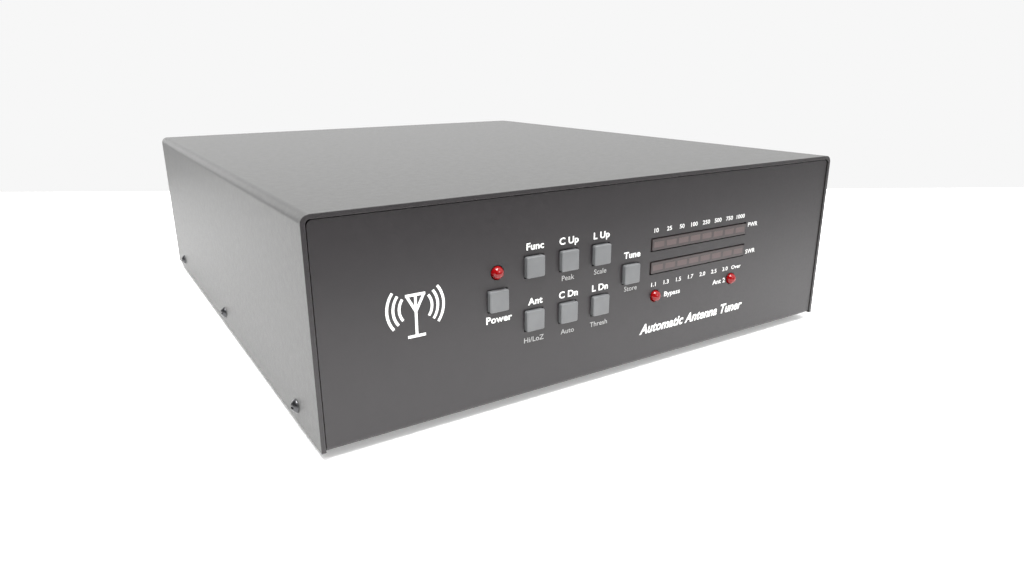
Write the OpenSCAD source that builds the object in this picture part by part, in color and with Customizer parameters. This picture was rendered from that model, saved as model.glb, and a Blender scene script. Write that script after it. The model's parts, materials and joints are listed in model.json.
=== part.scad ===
// Automatic antenna tuner for an amateur radio station: a desk-top sheet-metal case with
// eight push buttons, two bar meters and three indicator lamps on its front panel, and
// coaxial sockets, jacks and a ground terminal on its rear panel.
// Units are millimetres. The origin is the centre of the overall footprint on the resting
// plane, +Z is up, the front panel faces -Y and +X is to the right as seen from the front.

/* [Case] */
// Width over the cover
case_w = 280; // [270:1:300]
// Depth of the cover, front edge to back edge
case_d = 320; // [315:1:330]
// Height of the cover's sides, without the feet
case_h = 87; // [84:1:95]
// Sheet thickness of the cover
cover_t = 1.8; // [1.5:0.1:3]
// Outer radius of the cover's two bends
bend_r = 3.5; // [3:0.1:6]
// Sheet thickness of the base chassis
base_t = 1.6; // [1.2:0.1:2]
// Thickness of the front and rear panels
panel_t = 2; // [1.5:0.1:2.5]
// How far the panels sit inside the cover's edges
panel_recess = 0.5; // [0:0.1:1]
// Gap between a panel and the cover around it
panel_gap = 0.35; // [0.3:0.05:1]
// Height of the rubber feet
foot_h = 3.5; // [3:0.1:8]
// Diameter of the rubber feet
foot_d = 12.7; // [10:0.1:16]

/* [Front controls] */
// Side of a square button cap
button_size = 8.7; // [8:0.1:9]
// How far a cap stands out of the front panel
button_proud = 1.9; // [1.5:0.1:3]
// Travel of a button from rest to its stop
button_travel = 0.5; // [0.2:0.1:0.5]
// Distance between button columns
column_pitch = 17.25; // [16:0.05:18]
// Height of the lower button row above the case's bottom edge
lower_row_z = 33; // [32:0.1:36]
// Height of the upper button row above the case's bottom edge
upper_row_z = 55.7; // [54:0.1:58]
// Diameter of an indicator lamp
lamp_d = 5.3; // [3:0.1:5.5]
// How far a lamp's dome stands out of the front panel
lamp_proud = 2.6; // [2:0.1:3]
// Width of a meter's opening
opening_w = 63.1; // [62.5:0.1:64]
// Height of a meter's opening
opening_h = 6.4; // [5:0.1:7]
// How far a meter window stands out of the front panel
window_proud = 0.4; // [0.2:0.1:0.6]

/* [Rear sockets] */
// Diameter over the thread of a coaxial socket
socket_d = 15.88; // [15:0.01:16]
// Side of a coaxial socket's square flange
socket_flange = 25.4; // [24:0.1:26]
// Diameter of the ground stud
stud_d = 6; // [5:1:6]
// How far the ground stud stands out of the rear panel
stud_out = 20; // [20:1:24]

/* [Hidden] */
$fn = 64;

// Clearances
slip = 0.3;          // cover to base chassis
thread_gap = 0.05;   // screw in its tapped hole
turn_gap = 0.06;     // wing nut on its stud
lamp_gap = 0.35;     // lamp in the front panel
window_gap = 0.6;    // meter window in its opening

// Case levels. Depths run along Y, and heights along Z from the case's bottom edge.
rear_reach = stud_out - panel_recess;
front_reach = lamp_proud - panel_recess;
front_y = -(case_d + rear_reach + front_reach) / 2 + front_reach;
back_y = front_y + case_d;
panel_y = front_y + panel_recess;      // outer face of the front panel
rear_y = back_y - panel_recess;        // outer face of the rear panel
base_z = foot_h;
inner_w = case_w - 2 * cover_t;
flange_x = inner_w / 2 - slip;         // outer face of the chassis side flanges
flange_h = 14;
panel_w = inner_w - 2 * panel_gap;
panel_z1 = case_h - cover_t - panel_gap;
panel_r = 2.2;
foot_inset = 22;

// Screws
cover_screw_z = 7;
cover_screw_ys = [for (k = [-1, 0, 1]) (front_y + back_y) / 2 + 131 * k];
screw_r = 1.5;
head_r = 3;
head_h = 2.1;
panel_fix_z = 8;
front_fix_xs = [-120, -45, 45, 120];
rear_fix_xs = [-128, -43, 43, 128];

// Front controls: [node stem, column, height]
mid_row_z = (lower_row_z + upper_row_z) / 2;
first_column_x = -65.5;
function column_x(k) = first_column_x + k * column_pitch;
BUTTONS = [
  ["power", 0, mid_row_z],
  ["function", 1, upper_row_z],
  ["antenna", 1, lower_row_z],
  ["capacitance_up", 2, upper_row_z],
  ["capacitance_down", 2, lower_row_z],
  ["inductance_up", 3, upper_row_z],
  ["inductance_down", 3, lower_row_z],
  ["tune", 4, mid_row_z]
];
button_hole = button_size + 0.7;
cap_back = 4;            // back of a cap behind the panel's outer face
cap_socket = 2.5;        // depth of the plunger's socket in a cap
plunger_w = 3.8;
plunger_end = 7.2;       // inner end of a plunger
housing_front = 6.5;
housing_w = 12;
board_front = 10;        // front face of the front board
board_t = 1.6;
lamp_z = 31.1;
power_lamp_pos = [first_column_x, upper_row_z];
bypass_lamp_pos = [19.4, lamp_z];
antenna_lamp_pos = [70.3, lamp_z];
lamp_rim_y = 5;          // front of a lamp's rim
lamp_rim_t = 1;
window_x = 46.7;
power_meter_z = 55.5;
swr_meter_z = 44.7;
window_t = 0.8;
window_back = window_t - window_proud;
window_w = opening_w - 2 * window_gap;
window_h = opening_h - 2 * window_gap;
bar_count = 8;
bar_pitch = 7.68;
bar_w = 6.1;
bar_h = 2.6;
bar_l = 3;
front_board_box = [-85, 93, 20, 68];
front_post_points = [[-80, 24], [-80, 63], [88, 24], [88, 63]];

// Rear sockets, jacks and ground terminal: [x, height]
socket_xs = [78, 38, -2];
socket_z = 44;
socket_fix = 18.26 / 2;
flange_t = 3.2;
barrel_l = 12.5;
barrel_bore = 6.3;
core_r = 4.2;
contact_r = 2.7;
contact_bore = 2.05;
contact_depth = 11;
ground_pos = [116, 26];
nut_h = 5;
washer_t = 1.2;
wing_hub_h = 8;
meter_jack_pos = [-48, 24];
radio_jack_pos = [-74, 24];
dc_jack_pos = [-106, 24];
jack_bore = 1.8;
jack_nut_t = 2;
dc_bore_l = 9;

// Main board and what stands on it. Board depths are measured from the front panel.
post_h = 8;
board_z = base_t + post_h;
board_top = board_z + board_t;
board_x = 126;
board_y0 = 22;
board_y1 = 302;
post_xs = [-118, -16, 118];
post_ys = [30, 160, 294];
relay_size = [29, 13, 24];
relay_xs = [10, 44];
relay_ys = [for (k = [0:7]) 62 + 25 * k];
toroid_xs = [-100, -46];
toroid_ys = [for (k = [0:3]) 74 + 54 * k];
toroid_r = 15;
toroid_wall = 8;
toroid_h = 14;
winding_t = 2;
wire_w = 1.6;
capacitor_size = [18, 7, 20];
capacitor_xs = [78, 104];

module block(x0, x1, y0, y1, z0, z1) {
  translate([x0, y0, z0]) cube([x1 - x0, y1 - y0, z1 - z0]);
}

// A round rod along Y at x and z, from y0 to y1.
module rod_y(x, z, y0, y1, r) {
  translate([x, y0, z]) rotate([-90, 0, 0]) cylinder(h = y1 - y0, r = r);
}

// A hexagonal bar along Y, with flats across af.
module hex_y(x, z, y0, y1, af) {
  translate([x, y0, z]) rotate([-90, 0, 0]) cylinder(h = y1 - y0, r = af / sqrt(3), $fn = 6);
}

// Places children in the front panel's frame: y = 0 is the outer face, and z is a height on the case.
module on_panel() translate([0, panel_y, base_z]) children();

// The same for the rear panel, whose outer face is y = 0.
module on_rear() translate([0, rear_y, base_z]) children();

// The same for the main board: y counts from the front panel, and z = 0 is the board's top face.
module on_board() translate([0, panel_y, base_z + board_top]) children();

// A plane figure with its two upper corners rounded, from z0 to z1.
module arched(w, z0, z1, r) {
  translate([-w / 2, z0]) square([w, z1 - z0 - r]);
  translate([-w / 2 + r, z0]) square([w - 2 * r, z1 - z0]);
  for (s = [-1, 1]) translate([s * (w / 2 - r), z1 - r]) circle(r);
}

// Extrudes a figure drawn in X and Z along Y, from y0 to y1.
module extrude_y(y0, y1) {
  translate([0, y1, 0]) rotate([90, 0, 0]) linear_extrude(y1 - y0) children();
}

// A round-headed machine screw with a cross recess. Its head stands on z = 0 and its shank points down.
module screw(shank) {
  ball_r = (head_r * head_r + head_h * head_h) / (2 * head_h);
  difference() {
    intersection() {
      translate([0, 0, head_h - ball_r]) sphere(ball_r);
      cylinder(h = head_h, r = head_r);
    }
    for (turn = [0, 90])
      rotate([0, 0, turn]) translate([-1.7, -0.4, head_h - 1.1]) cube([3.4, 0.8, 2]);
  }
  translate([0, 0, -shank]) cylinder(h = shank, r = screw_r);
}

// ---- Case ----

module cover() {
  color("dimgray") difference() {
    extrude_y(front_y, back_y) difference() {
      arched(case_w, base_z, base_z + case_h, bend_r);
      translate([0, -1])
        arched(inner_w, base_z, base_z + case_h - cover_t + 1, bend_r - cover_t);
    }
    for (y = cover_screw_ys)
      translate([-case_w, y, base_z + cover_screw_z]) rotate([0, 90, 0])
        cylinder(h = 2 * case_w, r = screw_r + 0.2);
  }
}

module cover_screws() {
  color("black") for (side = [-1, 1], y = cover_screw_ys)
    translate([side * case_w / 2, y, base_z + cover_screw_z]) rotate([0, side * 90, 0])
      screw(cover_t + slip + base_t + 1.5);
}

module base_chassis() {
  color("dimgray") translate([0, 0, base_z]) difference() {
    union() {
      block(-flange_x, flange_x, panel_y + panel_t, rear_y - panel_t, 0, base_t);
      for (side = [0, 1]) mirror([side, 0, 0])
        block(flange_x - base_t, flange_x, front_y + 8, back_y - 8, 0, flange_h);
      for (y = [panel_y + panel_t, rear_y - panel_t - base_t])
        block(-flange_x + 3, flange_x - 3, y, y + base_t, 0, flange_h);
    }
    for (y = cover_screw_ys)
      translate([-case_w, y, cover_screw_z]) rotate([0, 90, 0])
        cylinder(h = 2 * case_w, r = screw_r + thread_gap);
    for (x = front_fix_xs)
      rod_y(x, panel_fix_z, panel_y, panel_y + 10, screw_r + 0.1);
    for (x = rear_fix_xs)
      rod_y(x, panel_fix_z, rear_y - 10, rear_y, screw_r + thread_gap);
  }
}

module rubber_feet() {
  color("black") for (x = [-1, 1], y = [front_y + foot_inset, back_y - foot_inset])
    translate([x * (case_w / 2 - foot_inset), y, 0])
      cylinder(h = foot_h, r1 = foot_d / 2 - 0.5, r2 = foot_d / 2);
}

// A panel's sheet behind its outer face, y = 0. Its lower edge is rounded to meet the base's underside.
module panel_sheet() {
  intersection() {
    extrude_y(0, panel_t) arched(panel_w, 0, panel_z1, panel_r);
    translate([-panel_w / 2, 0, 0]) rotate([90, 0, 90]) linear_extrude(panel_w) {
      translate([0, panel_t]) square([panel_t, panel_z1]);
      translate([panel_t, panel_t]) circle(panel_t);
    }
  }
}

module front_panel() {
  color("black") on_panel() difference() {
    panel_sheet();
    for (b = BUTTONS)
      block(column_x(b[1]) - button_hole / 2, column_x(b[1]) + button_hole / 2,
            -1, panel_t + 1, b[2] - button_hole / 2, b[2] + button_hole / 2);
    for (p = [power_lamp_pos, bypass_lamp_pos, antenna_lamp_pos])
      rod_y(p[0], p[1], -1, panel_t + 1, lamp_d / 2 + lamp_gap);
    for (z = [power_meter_z, swr_meter_z])
      block(window_x - opening_w / 2, window_x + opening_w / 2, -1, panel_t + 1,
            z - opening_h / 2, z + opening_h / 2);
  }
}

// Studs welded to the back of the front panel, and their nuts behind the chassis flange.
module front_panel_fasteners() {
  nut_y = panel_t + base_t;
  color("silver") on_panel() for (x = front_fix_xs) {
    rod_y(x, panel_fix_z, panel_t, panel_t + 7, screw_r);
    difference() {
      hex_y(x, panel_fix_z, nut_y, nut_y + 2.4, 5.5);
      rod_y(x, panel_fix_z, nut_y - 1, nut_y + 4, screw_r + thread_gap);
    }
  }
}

module rear_panel() {
  color("black") on_rear() difference() {
    mirror([0, 1, 0]) panel_sheet();
    for (x = socket_xs) {
      rod_y(x, socket_z, -panel_t - 1, 1, socket_d / 2 + 0.3);
      for (sx = [-1, 1], sz = [-1, 1])
        rod_y(x + sx * socket_fix, socket_z + sz * socket_fix,
              -panel_t - 1, 1, screw_r + thread_gap);
    }
    rod_y(ground_pos[0], ground_pos[1], -panel_t - 1, 1, stud_d / 2 + 0.1);
    for (p = [meter_jack_pos, radio_jack_pos]) rod_y(p[0], p[1], -panel_t - 1, 1, 3.1);
    rod_y(dc_jack_pos[0], dc_jack_pos[1], -panel_t - 1, 1, 5.6);
    for (x = rear_fix_xs) rod_y(x, panel_fix_z, -panel_t - 1, 1, screw_r + 0.2);
  }
}

module rear_panel_screws() {
  color("black") on_rear() for (x = rear_fix_xs)
    translate([x, 0, panel_fix_z]) rotate([-90, 0, 0]) screw(panel_t + base_t + 1.5);
}

// ---- Buttons and their switches ----

module button_cap(b) {
  half = button_size / 2;
  color("gray") on_panel() difference() {
    block(column_x(b[1]) - half, column_x(b[1]) + half,
          -button_proud, cap_back, b[2] - half, b[2] + half);
    block(column_x(b[1]) - plunger_w / 2, column_x(b[1]) + plunger_w / 2,
          cap_back - cap_socket, cap_back + 1,
          b[2] - plunger_w / 2, b[2] + plunger_w / 2);
  }
}

module button_plunger(b) {
  color("black") on_panel()
    block(column_x(b[1]) - plunger_w / 2, column_x(b[1]) + plunger_w / 2,
          cap_back - cap_socket, plunger_end, b[2] - plunger_w / 2, b[2] + plunger_w / 2);
}

module switch_housings() {
  hole = plunger_w / 2 + 0.2;
  color("darkslategray") on_panel() for (b = BUTTONS) difference() {
    block(column_x(b[1]) - housing_w / 2, column_x(b[1]) + housing_w / 2,
          housing_front, board_front, b[2] - housing_w / 2, b[2] + housing_w / 2);
    block(column_x(b[1]) - hole, column_x(b[1]) + hole,
          housing_front - 1, plunger_end + button_travel + 0.5, b[2] - hole, b[2] + hole);
  }
}

// ---- Lamps and meters ----

module lamp(p) {
  color("red") on_panel() {
    translate([p[0], lamp_d / 2 - lamp_proud, p[1]]) sphere(lamp_d / 2);
    rod_y(p[0], p[1], lamp_d / 2 - lamp_proud, lamp_rim_y, lamp_d / 2);
    rod_y(p[0], p[1], lamp_rim_y, lamp_rim_y + lamp_rim_t, lamp_d / 2 + 0.4);
  }
}

module lamp_leads() {
  color("silver") on_panel()
    for (p = [power_lamp_pos, bypass_lamp_pos, antenna_lamp_pos], s = [-1, 1])
      block(p[0] + s * 1.27 - 0.3, p[0] + s * 1.27 + 0.3,
            lamp_rim_y + lamp_rim_t, board_front, p[1] - 0.3, p[1] + 0.3);
}

function bar_x(k) = window_x + (k - (bar_count - 1) / 2) * bar_pitch;

module meter_housings() {
  color("darkslategray") on_panel() for (z = [power_meter_z, swr_meter_z]) difference() {
    block(window_x - window_w / 2, window_x + window_w / 2,
          window_back, board_front, z - window_h / 2, z + window_h / 2);
    for (k = [0 : bar_count - 1])
      block(bar_x(k) - bar_w / 2, bar_x(k) + bar_w / 2,
            window_back - 1, window_back + bar_l, z - bar_h / 2, z + bar_h / 2);
  }
}

module meter_bars(z) {
  color("rosybrown") on_panel() for (k = [0 : bar_count - 1])
    block(bar_x(k) - bar_w / 2, bar_x(k) + bar_w / 2,
          window_back, window_back + bar_l, z - bar_h / 2, z + bar_h / 2);
}

module meter_window(z) {
  color("dimgray") on_panel()
    block(window_x - window_w / 2, window_x + window_w / 2,
          -window_proud, window_back, z - window_h / 2, z + window_h / 2);
}

module front_board() {
  b = front_board_box;
  color("darkgreen") on_panel() difference() {
    block(b[0], b[1], board_front, board_front + board_t, b[2], b[3]);
    for (p = front_post_points)
      rod_y(p[0], p[1], board_front - 1, board_front + board_t + 1, screw_r + 0.1);
  }
}

// Flat cable between the two boards, with a socket at each end.
module ribbon_cable() {
  x0 = 4;
  x1 = 30;
  back = board_front + board_t;
  top_z = 31;
  turn_r = 4;
  sheet = 1;
  drop_y = 40;
  socket_h = 7;
  color("lightgray") on_panel() {
    block(x0, x1, back + socket_h, drop_y - turn_r, top_z, top_z + sheet);
    translate([x0, drop_y - turn_r, top_z + sheet - turn_r]) rotate([90, 0, 90])
      linear_extrude(x1 - x0) intersection() {
        difference() {
          circle(turn_r);
          circle(turn_r - sheet);
        }
        square(turn_r);
      }
    block(x0, x1, drop_y - sheet, drop_y, board_top + socket_h, top_z + sheet - turn_r);
  }
  color("black") on_panel() {
    block(x0 - 3, x1 + 3, back, back + socket_h, top_z - 3, top_z + 4);
    block(x0 - 3, x1 + 3, drop_y - 4, drop_y + 3, board_top, board_top + socket_h);
  }
}

// ---- Rear sockets, jacks and ground terminal ----

module coaxial_socket(x) {
  half = socket_flange / 2;
  color("silver") on_rear() difference() {
    union() {
      block(x - half, x + half, 0, flange_t, socket_z - half, socket_z + half);
      rod_y(x, socket_z, 0, flange_t + barrel_l, socket_d / 2);
      rod_y(x, socket_z, -5, 0, socket_d / 2);
    }
    rod_y(x, socket_z, -6, flange_t + barrel_l + 1, barrel_bore);
    for (sx = [-1, 1], sz = [-1, 1])
      rod_y(x + sx * socket_fix, socket_z + sz * socket_fix, -1, flange_t + 1, screw_r + 0.1);
  }
}

module socket_insulators() {
  rim = flange_t + barrel_l;
  color("white") on_rear() for (x = socket_xs) difference() {
    union() {
      rod_y(x, socket_z, -7, rim - 7, barrel_bore);
      rod_y(x, socket_z, rim - 8, rim - 1, core_r);
    }
    rod_y(x, socket_z, -8, rim, contact_r);
  }
}

// The sockets' contacts are bored for a plug's centre pin. The DC inlet's contact is a pin.
module centre_contacts() {
  rim = flange_t + barrel_l;
  color("goldenrod") on_rear() {
    for (x = socket_xs) difference() {
      rod_y(x, socket_z, -14, rim - 1, contact_r);
      rod_y(x, socket_z, rim - 1 - contact_depth, rim, contact_bore);
    }
    rod_y(dc_jack_pos[0], dc_jack_pos[1], -dc_bore_l, 1, 1.05);
  }
}

module socket_screws() {
  color("silver") on_rear() for (x = socket_xs, sx = [-1, 1], sz = [-1, 1])
    translate([x + sx * socket_fix, flange_t, socket_z + sz * socket_fix])
      rotate([-90, 0, 0]) screw(flange_t + panel_t + 1);
}

module ground_stud() {
  color("silver") on_rear() {
    hex_y(ground_pos[0], ground_pos[1], -panel_t - 4, -panel_t, 10);
    rod_y(ground_pos[0], ground_pos[1], -panel_t, stud_out, stud_d / 2);
  }
}

module ground_nut() {
  color("silver") on_rear() difference() {
    hex_y(ground_pos[0], ground_pos[1], 0, nut_h, 10);
    rod_y(ground_pos[0], ground_pos[1], -1, nut_h + 1, stud_d / 2 + thread_gap);
  }
}

module ground_washer() {
  color("silver") on_rear() difference() {
    rod_y(ground_pos[0], ground_pos[1], nut_h, nut_h + washer_t, 6);
    rod_y(ground_pos[0], ground_pos[1], nut_h - 1, nut_h + washer_t + 1, stud_d / 2 + 0.2);
  }
}

// Wing nut: a hub, and two wings that lean outwards.
module ground_wing_nut() {
  y0 = nut_h + washer_t;
  wing_t = 2.4;
  hub_r = 5;
  color("silver") on_rear() translate([ground_pos[0], y0, ground_pos[1]]) difference() {
    union() {
      rotate([-90, 0, 0]) cylinder(h = wing_hub_h, r1 = hub_r + 0.5, r2 = hub_r - 0.5);
      for (side = [0, 1]) mirror([side, 0, 0]) translate([0, 0, -wing_t / 2])
        linear_extrude(wing_t) {
          polygon([[3.5, 1], [5, 1], [15, 7], [10, 12.5], [3.5, wing_hub_h - 1]]);
          translate([12, 9.5]) circle(3.9);
        }
    }
    rotate([-90, 0, 0]) translate([0, 0, -1])
      cylinder(h = wing_hub_h + 2, r = stud_d / 2 + turn_gap);
  }
}

module dc_jack() {
  x = dc_jack_pos[0];
  z = dc_jack_pos[1];
  color("black") on_rear() difference() {
    union() {
      rod_y(x, z, 0, 2, 7.5);
      rod_y(x, z, -12, 0, 5.5);
    }
    rod_y(x, z, -dc_bore_l, 3, 2.8);
  }
}

// Panel jack for a 3.5 mm plug: a block behind the panel and a threaded bush through it.
module phone_jack(p) {
  color("black") on_rear() difference() {
    union() {
      block(p[0] - 5, p[0] + 5, -panel_t - 12, -panel_t, p[1] - 6, p[1] + 6);
      rod_y(p[0], p[1], -panel_t, 3, 3);
    }
    rod_y(p[0], p[1], -panel_t - 10, 4, jack_bore);
  }
}

module jack_nuts() {
  color("silver") on_rear() for (p = [meter_jack_pos, radio_jack_pos]) difference() {
    rod_y(p[0], p[1], 0, jack_nut_t, 4.6);
    rod_y(p[0], p[1], -1, jack_nut_t + 1, 3 + thread_gap);
  }
}

// ---- Boards and electronics ----

module main_board() {
  color("darkgreen") on_board() difference() {
    block(-board_x, board_x, board_y0, board_y1, -board_t, 0);
    for (x = post_xs, y = post_ys)
      translate([x, y, -board_t - 1]) cylinder(h = board_t + 2, r = screw_r + 0.1);
  }
}

module standoff() {
  difference() {
    cylinder(h = post_h, r = 5.5 / sqrt(3), $fn = 6);
    translate([0, 0, 1]) cylinder(h = post_h, r = screw_r + thread_gap);
  }
}

module board_standoffs() {
  color("silver") {
    on_board() for (x = post_xs, y = post_ys)
      translate([x, y, -board_t - post_h]) standoff();
    on_panel() for (p = front_post_points)
      translate([p[0], panel_t, p[1]]) rotate([-90, 0, 0]) standoff();
  }
}

module board_screws() {
  color("silver") {
    on_board() for (x = post_xs, y = post_ys) translate([x, y, 0]) screw(board_t + 5);
    on_panel() for (p = front_post_points)
      translate([p[0], board_front + board_t, p[1]]) rotate([-90, 0, 0]) screw(board_t + 5);
  }
}

module tuning_relays() {
  color("black") on_board() for (x = relay_xs, y = relay_ys)
    translate([x - relay_size[0] / 2, y - relay_size[1] / 2, 0]) cube(relay_size);
}

// Ring cores lie flat, lifted off the board by their windings.
module toroid_cores() {
  color("firebrick") on_board() for (x = toroid_xs, y = toroid_ys)
    translate([x, y, winding_t]) rotate_extrude()
      translate([toroid_r - toroid_wall / 2, 0]) square([toroid_wall, toroid_h]);
}

// Each turn of wire is a square loop round the core's section.
module toroid_windings() {
  turns = 20;
  step = 16;
  inner = toroid_r - toroid_wall / 2;
  color("peru") on_board() for (x = toroid_xs, y = toroid_ys, k = [0 : turns - 1])
    translate([x, y, 0]) rotate([0, 0, k * step]) difference() {
      block(inner - winding_t, inner + toroid_wall + winding_t,
            -wire_w / 2, wire_w / 2, 0, toroid_h + 2 * winding_t);
      block(inner - 0.2, inner + toroid_wall + 0.2, -wire_w, wire_w,
            winding_t, toroid_h + winding_t);
    }
}

module tuning_capacitors() {
  color("saddlebrown") on_board() for (x = capacitor_xs, y = relay_ys)
    translate([x - capacitor_size[0] / 2, y - capacitor_size[1] / 2, 0]) cube(capacitor_size);
}

// Ring transformer that samples the line from the transceiver socket.
module directional_coupler() {
  color("dimgray") on_board() translate([socket_xs[2], 278, 12]) rotate([-90, 0, 0])
    difference() {
      cylinder(h = 10, r = 11);
      translate([0, 0, -1]) cylinder(h = 12, r = 5);
    }
}

// Wires from the sockets' contacts, bent down to the main board.
module rf_leads() {
  lead_r = 1.2;
  turn_r = 5;
  start_y = rear_y - panel_y - 14;
  drop = socket_z - board_top;
  color("orangered") on_board() for (x = socket_xs) {
    rod_y(x, drop, start_y - 4, start_y, lead_r);
    translate([x, start_y - 4, drop - turn_r]) rotate([90, 0, -90])
      rotate_extrude(angle = 90) translate([turn_r, 0]) circle(lead_r);
    translate([x, start_y - 4 - turn_r, 0]) cylinder(h = drop - turn_r, r = lead_r);
  }
}

// Microcontroller, smoothing capacitors and a voltage regulator on its heat sink.
module control_parts() {
  color("black") on_board() {
    block(44, 80, 32, 42, 0, 4.5);
    for (x = [92, 108]) translate([x, 38, 0]) cylinder(h = 18, r = 6.3);
    block(-100, -74, 34, 36, 0, 24);
    block(-92, -82, 36, 40.5, 4, 20);
  }
}

cover();
base_chassis();
front_panel();
rear_panel();
cover_screws();
rubber_feet();
front_panel_fasteners();
rear_panel_screws();
for (b = BUTTONS) {
  button_cap(b);
  button_plunger(b);
}
switch_housings();
front_board();
lamp(power_lamp_pos);  // power_lamp
lamp(bypass_lamp_pos);  // bypass_lamp
lamp(antenna_lamp_pos);  // antenna_lamp
lamp_leads();
meter_housings();
meter_bars(power_meter_z);  // power_meter_bars
meter_bars(swr_meter_z);  // swr_meter_bars
meter_window(power_meter_z);  // power_meter_window
meter_window(swr_meter_z);  // swr_meter_window
ribbon_cable();
coaxial_socket(socket_xs[0]);  // antenna_1_socket
coaxial_socket(socket_xs[1]);  // antenna_2_socket
coaxial_socket(socket_xs[2]);  // transceiver_socket
socket_insulators();
centre_contacts();
socket_screws();
ground_stud();
ground_nut();
ground_washer();
ground_wing_nut();
dc_jack();
phone_jack(meter_jack_pos);  // meter_jack
phone_jack(radio_jack_pos);  // radio_jack
jack_nuts();
main_board();
board_standoffs();
board_screws();
tuning_relays();
toroid_cores();
toroid_windings();
tuning_capacitors();
directional_coupler();
rf_leads();
control_parts();
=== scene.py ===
import json
import math

import bmesh
import bpy
from mathutils import Matrix, Vector


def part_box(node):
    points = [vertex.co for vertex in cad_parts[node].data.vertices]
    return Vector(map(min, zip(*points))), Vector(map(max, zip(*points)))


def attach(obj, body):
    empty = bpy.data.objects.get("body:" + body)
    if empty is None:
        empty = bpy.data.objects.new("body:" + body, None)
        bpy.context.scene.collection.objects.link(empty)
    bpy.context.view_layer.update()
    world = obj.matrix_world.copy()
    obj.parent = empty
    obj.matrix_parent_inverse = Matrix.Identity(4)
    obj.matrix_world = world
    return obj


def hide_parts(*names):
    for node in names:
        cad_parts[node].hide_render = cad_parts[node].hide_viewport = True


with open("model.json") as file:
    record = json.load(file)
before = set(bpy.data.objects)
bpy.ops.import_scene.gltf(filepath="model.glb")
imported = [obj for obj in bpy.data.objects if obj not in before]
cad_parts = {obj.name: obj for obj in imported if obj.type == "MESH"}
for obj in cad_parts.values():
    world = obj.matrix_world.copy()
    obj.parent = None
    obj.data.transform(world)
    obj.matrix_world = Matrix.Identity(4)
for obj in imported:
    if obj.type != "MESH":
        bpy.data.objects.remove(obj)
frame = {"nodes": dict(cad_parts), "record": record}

MM = 0.001
SHARP = math.radians(32)       # an edge that turns more than this may be rounded
LEVEL = math.radians(0.5)      # faces that meet at less than this lie in one plane
WELD = 0.002 * MM              # vertices closer than this are one
LARGE_AREA = 60 * MM * MM      # a plane at least this large is a flat face
NODES = frame["nodes"]
COLLECTION = bpy.context.scene.collection
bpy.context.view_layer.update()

# Levels taken from the frame, in metres
PANEL_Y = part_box("front_panel")[0][1]
REAR_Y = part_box("rear_panel")[1][1]
BASE_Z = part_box("cover")[0][2]


def centre(node):
    low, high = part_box(node)
    return (Vector(low) + Vector(high)) / 2


# ---------------------------------------------------------------- materials

class Shader:
    """A Principled material, with short ways to add procedural detail to it."""

    def __init__(self, name, color, roughness, metallic=0.0, **sockets):
        self.mat = bpy.data.materials.new(name)
        self.mat.use_nodes = True
        self.tree = self.mat.node_tree
        self.bsdf = self.tree.nodes["Principled BSDF"]
        self.color = color
        self.bsdf.inputs["Base Color"].default_value = (*color, 1)
        self.bsdf.inputs["Roughness"].default_value = roughness
        self.bsdf.inputs["Metallic"].default_value = metallic
        for key, value in sockets.items():
            self.bsdf.inputs[key.replace("_", " ")].default_value = value
        self.coords = self.add("ShaderNodeTexCoord").outputs["Object"]
        self.normal = None

    def add(self, kind, **values):
        node = self.tree.nodes.new(kind)
        for key, value in values.items():
            if key in node.inputs:
                node.inputs[key].default_value = value
            else:
                setattr(node, key, value)
        return node

    def link(self, a, b):
        self.tree.links.new(a, b)

    def stretched(self, scale):
        node = self.add("ShaderNodeMapping")
        node.inputs["Scale"].default_value = scale
        self.link(self.coords, node.inputs["Vector"])
        return node.outputs["Vector"]

    def noise(self, scale, detail=3.0, stretch=None):
        node = self.add("ShaderNodeTexNoise", Scale=scale, Detail=detail)
        self.link(self.stretched(stretch) if stretch else self.coords, node.inputs["Vector"])
        return node.outputs["Fac"]

    def cells(self, scale):
        node = self.add("ShaderNodeTexVoronoi", Scale=scale)
        self.link(self.coords, node.inputs["Vector"])
        return node.outputs["Distance"]

    def remap(self, value, low, high, to_low, to_high):
        node = self.add("ShaderNodeMapRange")
        for key, number in (("From Min", low), ("From Max", high),
                            ("To Min", to_low), ("To Max", to_high)):
            node.inputs[key].default_value = number
        self.link(value, node.inputs["Value"])
        return node.outputs["Result"]

    def vary_color(self, value, darker, lighter, low=0.35, high=0.65):
        ramp = self.add("ShaderNodeValToRGB")
        for element, place, gain in zip(ramp.color_ramp.elements, (low, high), (darker, lighter)):
            element.position = place
            element.color = (*[min(c * gain, 1) for c in self.color], 1)
        self.link(value, ramp.inputs["Fac"])
        self.link(ramp.outputs["Color"], self.bsdf.inputs["Base Color"])
        return self

    def vary_roughness(self, value, to_low, to_high, low=0.3, high=0.7):
        self.link(self.remap(value, low, high, to_low, to_high), self.bsdf.inputs["Roughness"])
        return self

    def bump(self, value, height_mm, strength=1.0):
        node = self.add("ShaderNodeBump", Strength=strength, Distance=height_mm * MM)
        self.link(value, node.inputs["Height"])
        if self.normal:
            self.link(self.normal, node.inputs["Normal"])
        self.normal = node.outputs["Normal"]
        self.link(self.normal, self.bsdf.inputs["Normal"])
        return self


def powder_coat(name, color, roughness, **sockets):
    """Fine sand texture: grains under a millimetre across, with pits between them."""
    s = Shader(name, color, roughness, **sockets)
    grains = s.noise(1500.0, 3.0)
    s.vary_color(grains, 0.8, 1.2)
    s.vary_roughness(s.noise(300.0, 3.0), roughness - 0.015, roughness + 0.015)
    s.bump(grains, 0.05).bump(s.cells(900.0), 0.03)
    return s.mat


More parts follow.
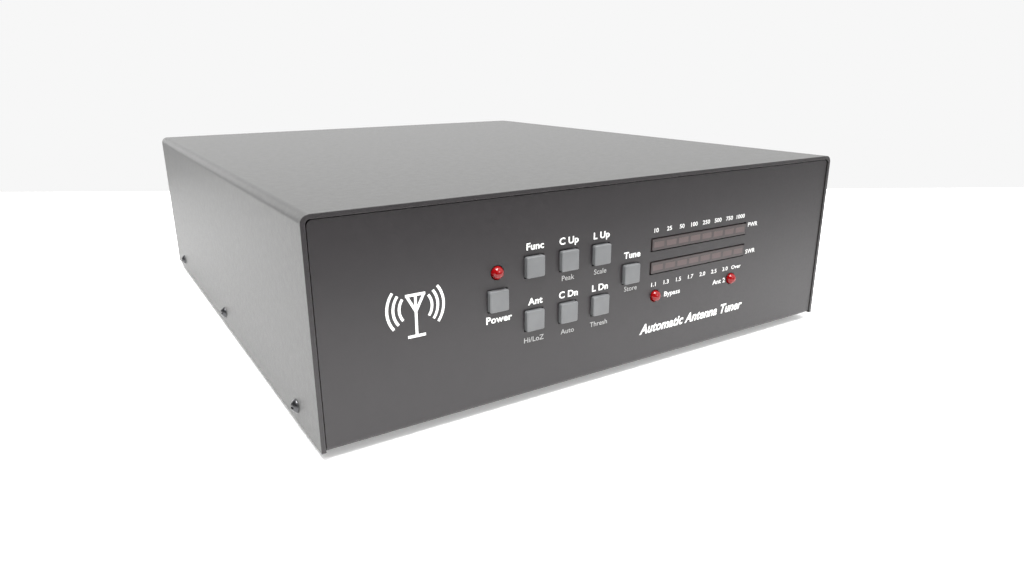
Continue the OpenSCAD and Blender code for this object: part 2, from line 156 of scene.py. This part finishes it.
def moulded(name, color, roughness, grain=2600.0, height=0.012, **sockets):
    s = Shader(name, color, roughness, **sockets)
    s.vary_color(s.noise(180.0, 4.0), 0.95, 1.05)
    s.vary_roughness(s.noise(grain * 0.3, 3.0), roughness - 0.04, roughness + 0.04)
    s.bump(s.noise(grain, 2.0), height)
    return s.mat


def metal(name, color, roughness, stretch=(1, 1, 1), grain=900.0, height=0.006):
    s = Shader(name, color, roughness, 1.0)
    lines = s.noise(grain, 4.0, stretch)
    s.vary_color(s.noise(120.0, 5.0), 0.86, 1.08)
    s.vary_roughness(lines, roughness - 0.08, roughness + 0.1)
    s.bump(lines, height)
    return s.mat


def polished(name, color, roughness, **sockets):
    """Clear or dyed plastic: smooth, with only a faint streak in its gloss."""
    s = Shader(name, color, roughness, **sockets)
    s.vary_color(s.noise(400.0, 2.0), 0.96, 1.04)
    s.vary_roughness(s.noise(90.0, 3.0), roughness, roughness + 0.03)
    return s.mat


def laminate():
    s = Shader("board_laminate", (0.02, 0.11, 0.05), 0.35)
    s.vary_color(s.noise(260.0, 5.0, (1, 1, 8)), 0.7, 1.3)
    s.bump(s.cells(420.0), 0.03)
    return s.mat


def ribbon():
    s = Shader("ribbon_insulation", (0.32, 0.33, 0.35), 0.45)
    strands = s.noise(420.0, 0.0, (8, 0.01, 0.01))
    s.vary_color(strands, 0.7, 1.2)
    s.bump(strands, 0.2)
    return s.mat


COVER = powder_coat("cover_powder_coat", (0.0185, 0.0185, 0.0175), 0.44)
CHASSIS = powder_coat("chassis_powder_coat", (0.0185, 0.0185, 0.0175), 0.44)
# Painted shade: the cover's own coat made as dark as the front panel, for the cover's front and rear
# edge faces
EDGE = powder_coat("cover_edge_painted_shade", (0.0118, 0.0096, 0.0108), 0.42)
PANEL = moulded("panel_satin_paint", (0.0118, 0.0096, 0.0108), 0.4, 2600.0, 0.006)
INK = moulded("legend_ink", (0.88, 0.88, 0.86), 0.45, 4000.0, 0.004)
INK_FINE = moulded("fine_legend_ink", (0.66, 0.66, 0.65), 0.45, 4000.0, 0.004)
INK_THIN = moulded("small_legend_ink", (0.36, 0.36, 0.355), 0.5, 4000.0, 0.004)
BUTTON = moulded("button_plastic", (0.118, 0.121, 0.124), 0.42, 3200.0, 0.006)
BLACK_PLASTIC = moulded("black_plastic", (0.022, 0.022, 0.023), 0.4)
METER_PLASTIC = moulded("meter_body_plastic", (0.075, 0.068, 0.066), 0.45)
JACK_PLASTIC = moulded("jack_plastic", (0.018, 0.018, 0.019), 0.3)
RUBBER = moulded("foot_rubber", (0.02, 0.02, 0.02), 0.75, 1800.0, 0.03)
BLACK_STEEL = metal("black_oxide_steel", (0.085, 0.085, 0.089), 0.36, grain=2400.0)
STEEL = metal("zinc_steel", (0.47, 0.47, 0.46), 0.3, grain=1800.0)
NICKEL = metal("nickel_plate", (0.5, 0.48, 0.445), 0.22, grain=1500.0, height=0.003)
GILT = metal("gilt_contact", (0.86, 0.62, 0.26), 0.22, grain=1500.0, height=0.003)
WHITE_INSULATOR = moulded("fluoropolymer", (0.82, 0.82, 0.79), 0.38, 1500.0, 0.006,
                          Subsurface_Weight=0.15)
WINDOW = polished("smoked_window", (0.030, 0.022, 0.022), 0.34)
LENS = polished("red_lens", (0.185, 0.002, 0.003), 0.1, Specular_IOR_Level=0.4)
BAR = moulded("unlit_segment", (0.071, 0.049, 0.048), 0.5, 1800.0, 0.01)
LAMINATE = laminate()
RELAY = moulded("relay_case", (0.025, 0.027, 0.03), 0.32, 900.0, 0.01)
IRON_POWDER = moulded("core_paint", (0.33, 0.03, 0.02), 0.4, 900.0, 0.04)
COPPER = metal("enamelled_copper", (0.80, 0.33, 0.14), 0.25, grain=900.0)
CERAMIC = moulded("capacitor_coat", (0.45, 0.17, 0.03), 0.3, 700.0, 0.03)
FERRITE = moulded("ferrite", (0.05, 0.05, 0.055), 0.7, 900.0, 0.03)
LEAD = moulded("lead_insulation", (0.55, 0.09, 0.02), 0.4, 900.0, 0.01)
CABLE = ribbon()


# ---------------------------------------------------------------- CAD nodes

def survey(mesh):
    """Finds which faces of a CAD mesh are curved, and which of its edges may be rounded.

    Faces in one plane are taken together. A large one is flat, and its holes keep sharp rims.
    """
    bm = bmesh.new()
    bm.from_mesh(mesh)
    face_id = bm.faces.layers.int.new("face_id")
    vert_id = bm.verts.layers.int.new("vert_id")
    for part, layer in ((bm.faces, face_id), (bm.verts, vert_id)):
        for item in part:
            item[layer] = item.index
    twins = bmesh.ops.find_doubles(bm, verts=bm.verts, dist=WELD)["targetmap"]
    merged = {v.index: twins.get(v, v).index for v in bm.verts}
    bmesh.ops.weld_verts(bm, targetmap=twins)

    angle = {e: e.calc_face_angle(0) for e in bm.edges if len(e.link_faces) == 2}
    flat, rims, seen = set(), set(), set()

    def in_plane(face):
        return [f for e in face.edges if angle.get(e, math.pi) < LEVEL for f in e.link_faces]

    def in_border(edge):
        return [e for v in edge.verts for e in v.link_edges if e in border]

    for start in bm.faces:
        if start in seen:
            continue
        plane = linked(start, in_plane)
        seen |= plane
        if sum(face.calc_area() for face in plane) < LARGE_AREA:
            continue
        flat |= plane
        border = {e for face in plane for e in face.edges
                  if sum(f in plane for f in e.link_faces) == 1}
        loops = []
        while border:
            loop = linked(next(iter(border)), in_border)
            border = border - loop
            loops.append(loop)
        loops.sort(key=lambda loop: spread([v.co for e in loop for v in e.verts]))
        for loop in loops[:-1]:
            rims |= loop

    curved = {face[face_id] for e, a in angle.items() if LEVEL < a < SHARP
              for face in e.link_faces if face not in flat}
    soft = {frozenset(v[vert_id] for v in e.verts) for e, a in angle.items()
            if a > SHARP and e not in rims}
    bm.free()
    return curved, [frozenset(merged[v] for v in e.vertices) in soft for e in mesh.edges]


def linked(start, neighbours):
    """Everything that can be reached from start."""
    found = {start}
    stack = [start]
    while stack:
        for item in neighbours(stack.pop()):
            if item not in found:
                found.add(item)
                stack.append(item)
    return found


def spread(points):
    """How far points reach along X, Y and Z together."""
    return sum(max(p[k] for p in points) - min(p[k] for p in points) for k in range(3))


def dress(node, *mats, bevel=0.0, segments=2, where=None):
    """Gives a CAD node its materials and softens its edges. where(centre, normal) picks a material."""
    obj = NODES[node]
    mesh = obj.data
    if "custom_normal" in mesh.attributes:
        mesh.attributes.remove(mesh.attributes["custom_normal"])
    mesh.materials.clear()
    for mat in mats:
        mesh.materials.append(mat)
    curved, soft = survey(mesh)
    mesh.attributes.new("bevel_weight_edge", "FLOAT", "EDGE").data.foreach_set("value", soft)
    for face in mesh.polygons:
        face.use_smooth = face.index in curved
        face.material_index = where(face.center, face.normal) if where else 0
    finish_edges(obj, bevel, segments)


def finish_edges(obj, bevel, segments=2, from_cad=True):
    """Rounds sharp edges by bevel, in millimetres. A CAD mesh's faces are first joined up."""
    if from_cad:
        obj.modifiers.new("weld", "WELD").merge_threshold = WELD
    if bevel:
        mod = obj.modifiers.new("edges", "BEVEL")
        mod.width = bevel * MM
        mod.segments = segments
        mod.limit_method = "WEIGHT" if from_cad else "ANGLE"
        mod.angle_limit = SHARP
        mod.use_clamp_overlap = True
    mod = obj.modifiers.new("normals", "WEIGHTED_NORMAL")
    mod.keep_sharp = True
    mod.weight = 80


KEYS = ["power", "function", "antenna", "capacitance_up", "capacitance_down",
        "inductance_up", "inductance_down", "tune"]
LAMPS = ["power_lamp", "bypass_lamp", "antenna_lamp"]
SOCKETS = ["antenna_1_socket", "antenna_2_socket", "transceiver_socket"]

# Faces that look along Y, the cover's front and rear edges, take the darker coat as painted shade
dress("cover", COVER, EDGE, bevel=0.2, segments=3, where=lambda c, n: int(abs(n.y) > 0.9))
dress("base_chassis", CHASSIS, bevel=0.2)
dress("front_panel", PANEL, bevel=0.22)
dress("rear_panel", PANEL, bevel=0.22)
dress("rubber_feet", RUBBER, bevel=0.4, segments=3)
for node in ("cover_screws", "rear_panel_screws"):
    dress(node, BLACK_STEEL, bevel=0.08)
for key in KEYS:
    dress(key + "_button", BUTTON, bevel=0.6, segments=4)
    dress(key + "_plunger", BLACK_PLASTIC, bevel=0.1)
for node in LAMPS:
    dress(node, LENS, bevel=0.1)
for node in ("power_meter_window", "swr_meter_window"):
    dress(node, WINDOW, bevel=0.12)
for node in ("power_meter_bars", "swr_meter_bars"):
    dress(node, BAR, bevel=0.12)
dress("switch_housings", BLACK_PLASTIC, bevel=0.15)
dress("meter_housings", METER_PLASTIC, bevel=0.1)
for node in ("front_panel_fasteners", "socket_screws", "board_screws", "lamp_leads"):
    dress(node, STEEL, bevel=0.05)
for node in ("ground_nut", "ground_washer", "board_standoffs"):
    dress(node, NICKEL, bevel=0.2)
dress("ground_wing_nut", NICKEL, bevel=0.7, segments=4)
dress("socket_insulators", WHITE_INSULATOR, bevel=0.15)
dress("centre_contacts", GILT, bevel=0.12)
for node in ("front_board", "main_board"):
    dress(node, LAMINATE, bevel=0.1)
dress("tuning_relays", RELAY, bevel=0.6, segments=3)
dress("toroid_cores", IRON_POWDER, bevel=1.0, segments=3)
dress("toroid_windings", COPPER, bevel=0.5)
dress("tuning_capacitors", CERAMIC, bevel=1.6, segments=4)
dress("directional_coupler", FERRITE, bevel=1.0, segments=3)
dress("rf_leads", LEAD)
for node in ("dc_jack", "meter_jack", "radio_jack"):
    dress(node, JACK_PLASTIC, bevel=0.15)

CABLE_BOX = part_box("ribbon_cable")
CABLE_SOCKET = 7.1 * MM        # depth of its front socket and height of its rear one
CABLE_DROP = 3.1 * MM          # in from the high Y side; the drop's outer side stays black
CONTROL_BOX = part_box("control_parts")
SINK_WIDTH = 27 * MM           # the regulator and its heat sink, from the low X side
SINK_DEPTH = 4.1 * MM          # in from the low Y side; the heat sink's rear side stays black
SMOOTHING_X = 86 * MM          # the smoothing capacitors' tops lie beyond this


def cable_surface(c, n):
    above = c.z > CABLE_BOX[0][2] + CABLE_SOCKET
    return int(above and CABLE_BOX[0][1] + CABLE_SOCKET < c.y < CABLE_BOX[1][1] - CABLE_DROP)


def control_surface(c, n):
    if c.x < CONTROL_BOX[0][0] + SINK_WIDTH:
        return int(c.y < CONTROL_BOX[0][1] + SINK_DEPTH)
    return int(c.x > SMOOTHING_X and n.z > 0.9)


dress("ribbon_cable", BLACK_PLASTIC, CABLE, bevel=0.1, where=cable_surface)
dress("control_parts", BLACK_PLASTIC, STEEL, bevel=0.3, where=control_surface)


# ---------------------------------------------------------------- new pieces

def new_piece(name, bm, mat, body="case", bevel=0.0, smooth=False):
    """Makes a visible piece of bm that rides a body. Only a smooth one is rounded by bevel."""
    mesh = bpy.data.meshes.new(name)
    bmesh.ops.recalc_face_normals(bm, faces=bm.faces)
    bm.to_mesh(mesh)
    bm.free()
    mesh.materials.append(mat)
    for face in mesh.polygons:
        face.use_smooth = smooth
    obj = bpy.data.objects.new(name, mesh)
    COLLECTION.objects.link(obj)
    if smooth:
        finish_edges(obj, bevel, from_cad=False)
    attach(obj, body)
    return obj


def ring_of(bm, x, y, z, radii):
    """Vertices round an axis along Y, one for each radius."""
    ring = []
    for k, radius in enumerate(radii):
        angle = 2 * math.pi * k / len(radii)
        ring.append(bm.verts.new((x + radius * math.cos(angle), y, z + radius * math.sin(angle))))
    return ring


def join_rings(bm, rings):
    """Joins each ring of vertices to the next with faces."""
    for a, b in zip(rings, rings[1:]):
        for k in range(len(a)):
            j = (k + 1) % len(a)
            bm.faces.new((a[k], a[j], b[j], b[k]))


THREAD_FLAT = 0.12             # share of half a pitch that the crest takes, and the root as well
ROWS_PER_PITCH = 6             # rings of vertices along one pitch
FADE = 0.5                     # pitches over which a thread fades in at either end
FADE_DEPTH = 0.8               # share of its depth that the very end is cut down by
CORE_GAP = 0.15 * MM           # from a thread's root in to the core under it
SLEEVE_OVERLAP = 0.1 * MM      # by which the sleeve reaches into the core
SLACK = 0.02 * MM              # how far a vertex may lie from its cylinder, or a sleeve from its flange
HAIR = 0.001 * MM              # lets vertices level with a thread's start count


def thread_profile(phase, depth):
    """Depth below the crest, for a phase of 0 to 1 along one pitch."""
    wave = abs(2 * (phase % 1) - 1)
    return depth * min(max((wave - THREAD_FLAT) / (1 - 2 * THREAD_FLAT), 0), 1)


def thread_sleeve(bm, x, z, y0, y1, radius, pitch, depth, inner, around=48):
    """A closed tube along Y whose outside carries a screw thread that fades out at both ends."""
    rows = int((y1 - y0) / pitch * ROWS_PER_PITCH)
    rings = []
    for row in range(rows + 1):
        y = y0 + row * (y1 - y0) / rows
        edge = min(y - y0, y1 - y) / pitch
        fade = depth * (1 - edge / FADE) * FADE_DEPTH
        cuts = [max(thread_profile(y / pitch - k / around, depth), fade) for k in range(around)]
        rings.append(ring_of(bm, x, y, z, [radius - cut for cut in cuts]))
    for y in (y1, y0):
        rings.append(ring_of(bm, x, y, z, [inner] * around))
    join_rings(bm, rings + rings[:1])


def with_thread(node, name, x, z, y0, y1, radius, pitch, depth, bevel):
    """A copy of a CAD node with its plain cylinder cut down and a threaded sleeve put over it."""
    bm = bmesh.new()
    bm.from_mesh(NODES[node].data)
    bmesh.ops.remove_doubles(bm, verts=bm.verts, dist=WELD)
    core = radius - depth - CORE_GAP
    for v in bm.verts:
        off = Vector((v.co.x - x, 0, v.co.z - z))
        if y0 - HAIR < v.co.y and abs(off.length - radius) < SLACK:
            v.co.x = x + off.x / off.length * core
            v.co.z = z + off.z / off.length * core
    thread_sleeve(bm, x, z, y0 + SLACK, y1, radius, pitch, depth, core - SLEEVE_OVERLAP)
    piece = new_piece(name, bm, NICKEL, body_of(node), bevel=bevel, smooth=True)
    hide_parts(node)


def body_of(node):
    for body, members in frame["record"]["behaviour"]["bodies"].items():
        if node in members:
            return body


SOCKET_THREAD = {"radius": 7.94 * MM, "pitch": 25.4 / 24 * MM, "depth": 0.55 * MM}
SOCKET_FLANGE = 3.2 * MM       # height of the flange below a socket's thread
SOCKET_LIP = 0.4 * MM          # plain end of a socket
STUD_THREAD = {"radius": 3 * MM, "pitch": 1 * MM, "depth": 0.5 * MM}
STUD_LIP = 0.3 * MM            # plain end of the ground stud

for node in SOCKETS:
    mid = centre(node)
    with_thread(node, node + "_shell", mid.x, mid.z, REAR_Y + SOCKET_FLANGE,
                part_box(node)[1][1] - SOCKET_LIP, bevel=0.15, **SOCKET_THREAD)
mid = centre("ground_nut")
with_thread("ground_stud", "ground_stud_threaded", mid.x, mid.z, REAR_Y,
            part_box("ground_stud")[1][1] - STUD_LIP, bevel=0.2, **STUD_THREAD)

RING_HEIGHT = 2 * MM
RING_RADIUS = 4.6 * MM
RING_BORE = 3.06 * MM
RING_CHAMFER = 0.25 * MM
RING_END = 0.93                # width of a ring's chamfered ends, as a share of its full width
TEETH = 18
TOOTH = (1, 1, 0.955, 0.955)   # a knurl's crest and groove, as shares of the radius


def knurled_ring(bm, x, z):
    """The ring nut of a jack, on the rear panel."""
    end = REAR_Y + RING_HEIGHT
    levels = [(REAR_Y, RING_END), (REAR_Y + RING_CHAMFER, 1), (end - RING_CHAMFER, 1), (end, RING_END)]
    rings = [ring_of(bm, x, y, z, [RING_RADIUS * gain * share for share in TOOTH * TEETH])
             for y, gain in levels]
    rings += [ring_of(bm, x, y, z, [RING_BORE] * len(rings[0])) for y in (end, REAR_Y)]
    join_rings(bm, rings + rings[:1])


def jack_nut_pair():
    bm = bmesh.new()
    for node in ("meter_jack", "radio_jack"):
        mid = centre(node)
        knurled_ring(bm, mid.x, mid.z)
    piece = new_piece("jack_nuts_knurled", bm, NICKEL)
    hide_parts("jack_nuts")


jack_nut_pair()

SEGMENT_COUNT = 8
SEGMENT_WIDTH = 6.1 * MM
SEGMENT_PROUD = 0.03 * MM


def meter_segments(meter):
    """The milky faces of a meter's segments, almost flush with its smoked face."""
    bm = bmesh.new()
    low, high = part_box(meter + "_bars")
    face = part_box(meter + "_window")[0][1]
    first = low[0] + SEGMENT_WIDTH / 2
    pitch = (high[0] - low[0] - SEGMENT_WIDTH) / (SEGMENT_COUNT - 1)
    size = Matrix.Diagonal((SEGMENT_WIDTH, 2 * SEGMENT_PROUD, high[2] - low[2], 1))
    for k in range(SEGMENT_COUNT):
        spot = Matrix.Translation((first + k * pitch, face, (low[2] + high[2]) / 2))
        bmesh.ops.create_cube(bm, size=1, matrix=spot @ size)
    new_piece(meter + "_segments", bm, BAR)


meter_segments("power_meter")
meter_segments("swr_meter")


# ---------------------------------------------------------------- printed legends

INK_DEPTH = 0.04 * MM          # by which print stands out of its panel, and sinks into it
CAPITAL = 0.7                  # height of a capital in the font's own units


def text_bmesh(body, height, bold, slant, stretch, width):
    """A line of lettering in X and Z that faces -Y, centred on its own origin. height is a capital's.

    A line without a width of its own is as wide as the font makes it, times stretch.
    """
    curve = bpy.data.curves.new("line", "FONT")
    curve.body = body
    curve.size = 1.0
    curve.offset = bold
    curve.space_character = 1 + 1.6 * bold
    curve.shear = slant
    curve.resolution_u = 4
    curve.extrude = 0.01
    obj = bpy.data.objects.new("line", curve)
    COLLECTION.objects.link(obj)
    bpy.context.view_layer.update()
    mesh = bpy.data.meshes.new_from_object(obj.evaluated_get(bpy.context.evaluated_depsgraph_get()))
    bpy.data.objects.remove(obj)
    bpy.data.curves.remove(curve)
    bm = bmesh.new()
    bm.from_mesh(mesh)
    bpy.data.meshes.remove(mesh)
    bmesh.ops.remove_doubles(bm, verts=bm.verts, dist=1e-5)
    left = min(v.co.x for v in bm.verts)
    right = max(v.co.x for v in bm.verts)
    gain = height / (CAPITAL + 2 * bold)
    sideways = width / (right - left) if width else gain * stretch
    for v in bm.verts:
        v.co = Vector(((v.co.x - (left + right) / 2) * sideways,
                       INK_DEPTH if v.co.z < 0 else -INK_DEPTH,
                       (v.co.y - CAPITAL / 2) * gain))
    return bm


def legend(name, lines, mat, y, bold, slant=0.0, stretch=1.0, back=False):
    """One piece of print. lines holds (text, x, z, capital height, width or None), in millimetres."""
    whole = bmesh.new()
    for body, x, z, height, width in lines:
        bm = text_bmesh(body, height * MM, bold, slant, stretch, width * MM if width else None)
        if back:
            bmesh.ops.transform(bm, verts=bm.verts, matrix=Matrix.Rotation(math.pi, 4, "Z"))
        bmesh.ops.translate(bm, verts=bm.verts, vec=(x * MM, y, BASE_Z + z * MM))
        mesh = bpy.data.meshes.new("line")
        bm.to_mesh(mesh)
        bm.free()
        whole.from_mesh(mesh)
        bpy.data.meshes.remove(mesh)
    new_piece(name, whole, mat)


def place(node):
    """A node's x and its height on the case, in millimetres."""
    mid = centre(node)
    return mid.x / MM, (mid.z - BASE_Z) / MM


def by_node(rows, height):
    """Legend lines from (text, node, x offset, z offset)."""
    return [(text, place(node)[0] + dx, place(node)[1] + dz, height, None)
            for text, node, dx, dz in rows]


FIRST_NAMES = [
    ("Func", "function_button", 0.6, 8.4), ("C Up", "capacitance_up_button", 0.2, 8.4),
    ("L Up", "inductance_up_button", 0.2, 8.4), ("Ant", "antenna_button", 0.8, 8.0),
    ("C Dn", "capacitance_down_button", 0.4, 8.0), ("L Dn", "inductance_down_button", 0.2, 8.0),
    ("Tune", "tune_button", 0.7, 8.6), ("Power", "power_button", 0.7, -7.7),
]
SECOND_NAMES = [
    ("Peak", "capacitance_up_button", 0, -7.5), ("Scale", "inductance_up_button", 0, -7.5),
    ("Hi/LoZ", "antenna_button", 0.2, -8.5), ("Auto", "capacitance_down_button", 0.2, -8.5),
    ("Thresh", "inductance_down_button", 0, -8.5), ("Store", "tune_button", 0.6, -6.9),
]
legend("key_legends", by_node(FIRST_NAMES, 3.0), INK, PANEL_Y, 0.023, stretch=1.1)
legend("second_legends", by_node(SECOND_NAMES, 2.25), INK_THIN, PANEL_Y, 0.004, stretch=1.08)

POWER_STEPS = ["10", "25", "50", "100", "250", "500", "750", "1000"]
SWR_STEPS = ["1.1", "1.3", "1.5", "1.7", "2.0", "2.5", "3.0", "Over"]
STEP_PITCH = 7.95
STEP_SHIFT = -0.8              # the steps stand a little left of the segments
METER_X, POWER_Z = place("power_meter_window")
SWR_Z = place("swr_meter_window")[1]


def scale_line(steps, z):
    """A meter's scale, with its steps spaced evenly about the meter's middle."""
    first = METER_X + STEP_SHIFT - (len(steps) - 1) / 2 * STEP_PITCH
    return [(text, first + k * STEP_PITCH, z, 2.0, None) for k, text in enumerate(steps)]


scale_lines = scale_line(POWER_STEPS, POWER_Z + 6.6) + scale_line(SWR_STEPS, SWR_Z - 7.95)
scale_lines += [("PWR", METER_X + 36.5, POWER_Z + 1.7, 2.2, 7.0),
                ("SWR", METER_X + 36.5, SWR_Z - 1.2, 2.2, 7.0)]
scale_lines += by_node([("Bypass", "bypass_lamp", 10.9, -0.2),
                        ("Ant 2", "antenna_lamp", -8.3, -0.1)], 2.4)
legend("scale_legends", scale_lines, INK_FINE, PANEL_Y, 0.016, stretch=1.16)
legend("title_legend", [("Automatic Antenna Tuner", 45.9, 15.9, 4.9, 69.8)], INK, PANEL_Y, 0.022, 0.3)

rear_lines = by_node([("ANT 1", "antenna_1_socket", 0, 17.5), ("ANT 2", "antenna_2_socket", 0, 17.5),
                      ("TX", "transceiver_socket", 0, 17.5), ("GND", "ground_nut", 0, 19.5)], 2.8)
rear_lines += by_node([("METER", "meter_jack", 0, 10.5), ("RADIO", "radio_jack", 0, 10.5),
                       ("DC IN", "dc_jack", 0, 11.5)], 2.3)
legend("rear_legends", rear_lines, INK, REAR_Y, 0.006, back=True)


def ribbon_line(bm, points, width, y, depth):
    """A flat printed line of one width through points (x, z), with mitred corners."""
    pts = [Vector((x, 0, z)) for x, z in points]
    sides = []
    for k, p in enumerate(pts):
        before = (p - pts[k - 1]).normalized() if k else None
        after = (pts[k + 1] - p).normalized() if k + 1 < len(pts) else None
        along = ((before or after) + (after or before)).normalized()
        stretch = 1 / max(along.dot(before or after), 0.3)
        sides.append(Vector((-along.z, 0, along.x)) * width / 2 * stretch)
    rings = []
    for p, side in zip(pts, sides):
        corners = ((p + side, -depth), (p - side, -depth), (p - side, depth), (p + side, depth))
        rings.append([bm.verts.new((c.x, y + d, c.z)) for c, d in corners])
    join_rings(bm, rings)
    bm.faces.new(rings[0])
    bm.faces.new(rings[-1])


EMBLEM_AT = (-100.6 * MM, BASE_Z + 45 * MM)     # x and z of the middle of its mast
EMBLEM_LINE = 1.05 * MM
MAST_HALF = 8 * MM
FAN_HALF = 3.5 * MM
FAN_TIP = 1.5 * MM             # where the fan meets the mast, above the middle
FOOT_HALF = 3.6 * MM
WAVES_UP = 3 * MM              # the waves' common centre, above the middle
WAVE_RADII = (6.6 * MM, 9.0 * MM, 11.4 * MM)
WAVE_ANGLES = [math.radians(-38 + 4 * k) for k in range(20)]


def antenna_emblem():
    """A plain aerial sign: a mast with a fan on top, and three waves on either side.

    Lines that cross differ in depth, so that no two faces lie in one plane.
    """
    bm = bmesh.new()
    x, z = EMBLEM_AT
    top = z + MAST_HALF
    foot = z - MAST_HALF
    fan = [(x - FAN_HALF, top), (x, z + FAN_TIP), (x + FAN_HALF, top)]
    ribbon_line(bm, fan, EMBLEM_LINE, PANEL_Y, INK_DEPTH)
    ribbon_line(bm, [(x, top), (x, foot)], EMBLEM_LINE, PANEL_Y, INK_DEPTH * 1.2)
    for half, level in ((FAN_HALF + EMBLEM_LINE / 2, top), (FOOT_HALF, foot)):
        ribbon_line(bm, [(x - half, level), (x + half, level)], EMBLEM_LINE, PANEL_Y, INK_DEPTH * 1.4)
    for side in (-1, 1):
        for radius in WAVE_RADII:
            wave = [(x + side * radius * math.cos(a), z + WAVES_UP + radius * math.sin(a))
                    for a in WAVE_ANGLES]
            ribbon_line(bm, wave, EMBLEM_LINE, PANEL_Y, INK_DEPTH)
    new_piece("aerial_emblem", bm, INK)


antenna_emblem()


# ---------------------------------------------------------------- stage, lights and camera

CAMERA_AT = Vector((-0.20183, -0.39258, 0.13522))
CAMERA_TURN = (72.597, 0.256, -32.606)      # degrees about X, Y and Z
FLOOR_FRONT = -0.36            # y of the floor's near edge, just below the picture
FLOOR_REACH = 0.81             # from the camera to the floor's far edge, square to the camera's aim
FLOOR_SPAN = 6.0
FLOOR_GLOW = 0.25              # keeps the shade under the case light


def stage():
    """A pale three-cornered floor, which ends behind the case."""
    aim = math.radians(-CAMERA_TURN[2])
    ahead = Vector((math.sin(aim), math.cos(aim), 0))
    across = Vector((ahead.y, -ahead.x, 0))
    far = Vector((CAMERA_AT.x, CAMERA_AT.y, 0)) + ahead * FLOOR_REACH
    bm = bmesh.new()
    corners = (far + across * (FLOOR_FRONT - far.y) / across.y, far - across * FLOOR_SPAN,
               Vector((-FLOOR_SPAN, FLOOR_FRONT, 0)))
    bm.faces.new([bm.verts.new(corner) for corner in corners])
    mesh = bpy.data.meshes.new("floor")
    bm.to_mesh(mesh)
    bm.free()
    s = Shader("floor_white", (0.78, 0.78, 0.775), 0.7, Emission_Color=(1, 1, 1, 1),
               Emission_Strength=FLOOR_GLOW)
    s.vary_color(s.noise(3.0, 3.0), 0.985, 1.0)
    mesh.materials.append(s.mat)
    floor = bpy.data.objects.new("floor", mesh)
    COLLECTION.objects.link(floor)


def softbox(name, spot, target, size, power):
    """A white rectangular light at spot, turned to target, which the camera doesn't see."""
    light = bpy.data.lights.new(name, "AREA")
    light.shape = "RECTANGLE"
    light.size, light.size_y = size
    light.energy = power
    obj = bpy.data.objects.new(name, light)
    obj.location = spot
    obj.rotation_euler = (Vector(target) - Vector(spot)).to_track_quat("-Z", "Y").to_euler()
    obj.visible_camera = False
    COLLECTION.objects.link(obj)


def studio(front, back, overhead, sky_front, left, shown):
    """A soft white dome whose strength depends on direction only, and which the camera sees plain.

    It runs from front to back, gains overhead at the top, gains sky_front in front above the
    horizon, and loses the share left towards -X.
    """
    world = bpy.data.worlds.new("studio")
    bpy.context.scene.world = world
    world.use_nodes = True
    tree = world.node_tree
    background = tree.nodes["Background"]

    def math_node(operation, a, b):
        node = tree.nodes.new("ShaderNodeMath")
        node.operation = operation
        for socket, value in zip(node.inputs, (a, b)):
            if isinstance(value, (int, float)):
                socket.default_value = value
            else:
                tree.links.new(value, socket)
        return node.outputs["Value"]

    def clamped(value, gain):
        return math_node("MINIMUM", math_node("MAXIMUM", math_node("MULTIPLY", value, gain), 0), 1)

    split = tree.nodes.new("ShaderNodeSeparateXYZ")
    tree.links.new(tree.nodes.new("ShaderNodeTexCoord").outputs["Generated"], split.inputs[0])
    turned = math_node("MULTIPLY", math_node("ADD", split.outputs["Y"], 1), (back - front) / 2)
    height = math_node("POWER", math_node("MAXIMUM", split.outputs["Z"], 0), 2)
    light = math_node("ADD", math_node("ADD", turned, front), math_node("MULTIPLY", height, overhead))
    facing = math_node("MULTIPLY", math_node("SUBTRACT", 1, split.outputs["Y"]), sky_front / 2)
    light = math_node("ADD", light, math_node("MULTIPLY", clamped(split.outputs["Z"], 8), facing))
    shade = math_node("MULTIPLY", clamped(split.outputs["X"], -2), left)
    light = math_node("MULTIPLY", light, math_node("SUBTRACT", 1, shade))
    camera_ray = tree.nodes.new("ShaderNodeLightPath").outputs["Is Camera Ray"]
    seen = math_node("MULTIPLY", camera_ray, shown)
    unseen = math_node("MULTIPLY", math_node("SUBTRACT", 1, camera_ray), light)
    tree.links.new(math_node("ADD", seen, unseen), background.inputs["Strength"])
    background.inputs["Color"].default_value = (1, 1, 1, 1)


stage()
studio(front=0.03, back=1.62, overhead=1.1, sky_front=1.1, left=0.95, shown=0.93)
softbox("key", (-0.35, -0.38, 1.5), (-0.1, -0.1, 0), (0.8, 0.8), 60)
softbox("bend", (-0.78, 1.8, 0.64), (-0.14, 0, 0.09), (0.8, 1.2), 7)
softbox("highlight", (0.2, -1.6, 0.6), (0, -0.16, 0.05), (0.25, 0.25), 5)

camera = bpy.data.objects.new("camera", bpy.data.cameras.new("camera"))
camera.data.sensor_width = 36
camera.data.lens = 24.71
camera.data.clip_start = 0.01
camera.location = CAMERA_AT
camera.rotation_euler = [math.radians(a) for a in CAMERA_TURN]
COLLECTION.objects.link(camera)
bpy.context.scene.camera = camera
bpy.context.scene.view_settings.view_transform = "Standard"
